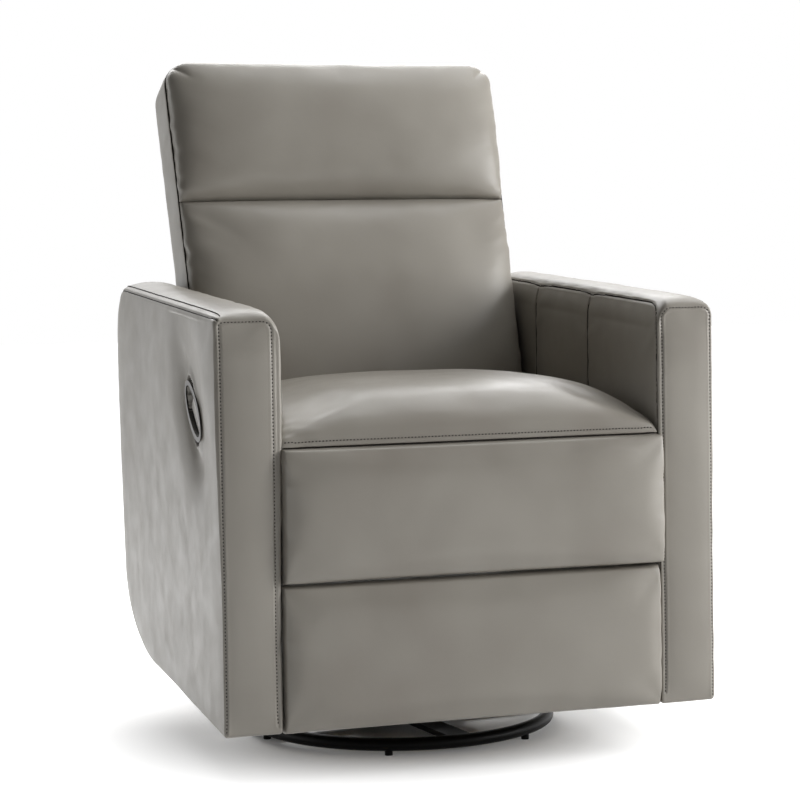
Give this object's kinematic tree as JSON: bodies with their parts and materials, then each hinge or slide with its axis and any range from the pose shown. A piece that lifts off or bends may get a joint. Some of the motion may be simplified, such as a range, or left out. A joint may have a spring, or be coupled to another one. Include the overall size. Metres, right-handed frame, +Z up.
{
  "type": "swivel rocker recliner",
  "caption": "Leather armchair that swivels on a ring base, rocks, reclines and lifts a flush footrest by a cable release.",
  "frame": {"origin": "on the floor, midway across the chair's width and midway in its depth", "axes": "+Z up, the chair faces -Y, +X is to the right of a person who faces the chair"},
  "size_m": [0.74, 0.8566, 1.0659],
  "materials": {
    "leather": "smooth, semi-gloss taupe grey",
    "black_coat": "black powder coat",
    "steel": "zinc plated",
    "handle_metal": "satin plated",
    "timber": "bare",
    "foam": "foam block",
    "black_plastic": "matt"
  },
  "bodies": {
    "base": {"base_ring": "black_coat", "cross_bars": "black_coat", "floor_glides": "black_plastic", "lower_plate": "steel", "bearing_race": "steel", "centre_bolt": "steel", "base_screws": "steel"},
    "swivel": {"upper_plate": "steel", "rocker_posts": "black_coat", "rocking_pin": "steel", "front_rocker_springs": "steel", "rear_rocker_springs": "steel"},
    "chassis": {"rocker_hangers": "black_coat", "spring_plate": "black_coat", "front_cross_tube": "black_coat", "rear_cross_tube": "black_coat", "left_mech_plate": "steel", "right_mech_plate": "steel", "seat_runners": "steel", "left_arm_frame": "timber", "right_arm_frame": "timber", "left_arm_cover": "leather", "right_arm_cover": "leather", "left_arm_pad": "leather", "right_arm_pad": "leather", "drive_pins": "steel", "arm_screws": "steel", "handle_bezel": "handle_metal", "release_cable": "black_plastic", "latch_bracket": "steel", "latch_pin": "steel", "paddle_pin": "steel"},
    "latch": {"latch_shoe": "steel"},
    "paddle": {"release_paddle": "handle_metal"},
    "drive_links": {"left_drive_link": "steel", "right_drive_link": "steel", "torque_tube": "steel", "latch_drum": "steel", "knee_pins": "steel"},
    "carry_links": {"left_carry_link": "steel", "right_carry_link": "steel", "footrest_pins": "steel"},
    "footrest": {"left_footrest_bracket": "steel", "right_footrest_bracket": "steel", "footrest_board": "timber", "footrest_cushion": "leather"},
    "seat": {"seat_side_rails": "timber", "seat_front_rail": "timber", "seat_rear_rail": "timber", "seat_springs": "steel", "seat_foam": "foam", "seat_cushion": "leather", "seat_front_panel": "leather", "back_hinge_pins": "steel"},
    "back": {"back_hinges": "steel", "back_frame": "timber", "back_foam": "foam", "back_shell": "leather", "lumbar_cushion": "leather", "headrest_cushion": "leather"}
  },
  "joints": [
    {"name": "swivel_turn", "type": "hinge", "parent": "base", "child": "swivel", "pos_m": [0, -0.03635, 0.03], "axis": [0, 0, 1], "continuous": true},
    {"name": "rock", "type": "hinge", "parent": "swivel", "child": "chassis", "pos_m": [0, -0.03635, 0.115], "axis": [-1, 0, 0], "range_deg": [-5, 9], "stiffness_Nm_per_rad": 900, "deforming": ["front_rocker_springs", "rear_rocker_springs"]},
    {"name": "paddle_pull", "type": "hinge", "parent": "chassis", "child": "paddle", "pos_m": [-0.361, -0.22953, 0.50987], "axis": [0, -0.809, -0.5878], "range_deg": [0, 30], "stiffness_Nm_per_rad": 0.4},
    {"name": "latch_lift", "type": "hinge", "parent": "chassis", "child": "latch", "pos_m": [-0.2487, -0.23835, 0.3], "axis": [-1, 0, 0], "range_deg": [0, 16]},
    {"name": "footrest_drive", "type": "hinge", "parent": "chassis", "child": "drive_links", "pos_m": [0, -0.29005, 0.2762], "axis": [-1, 0, 0], "range_deg": [0, 88]},
    {"name": "footrest_carry", "type": "hinge", "parent": "drive_links", "child": "carry_links", "pos_m": [0, -0.12199, 0.12907], "axis": [-1, 0, 0], "range_deg": [-54, 0]},
    {"name": "footrest_tilt", "type": "hinge", "parent": "carry_links", "child": "footrest", "pos_m": [0, -0.33032, 0.25376], "axis": [-1, 0, 0], "range_deg": [0, 54]},
    {"name": "seat_slide", "type": "slide", "parent": "chassis", "child": "seat", "axis": [0, -1, 0], "range_m": [0, 0.05]},
    {"name": "back_recline", "type": "hinge", "parent": "seat", "child": "back", "pos_m": [0, 0.12965, 0.352], "axis": [-1, 0, 0], "range_deg": [0, 35]}
  ],
  "couplings": [
    {"joint": "latch_lift", "follows": "paddle_pull", "ratio": 0.333},
    {"joint": "footrest_carry", "follows": "footrest_drive", "ratio": -0.61},
    {"joint": "footrest_tilt", "follows": "footrest_drive", "ratio": 0.61},
    {"joint": "seat_slide", "follows": "back_recline", "m_per_rad": 0.081687}
  ]
}
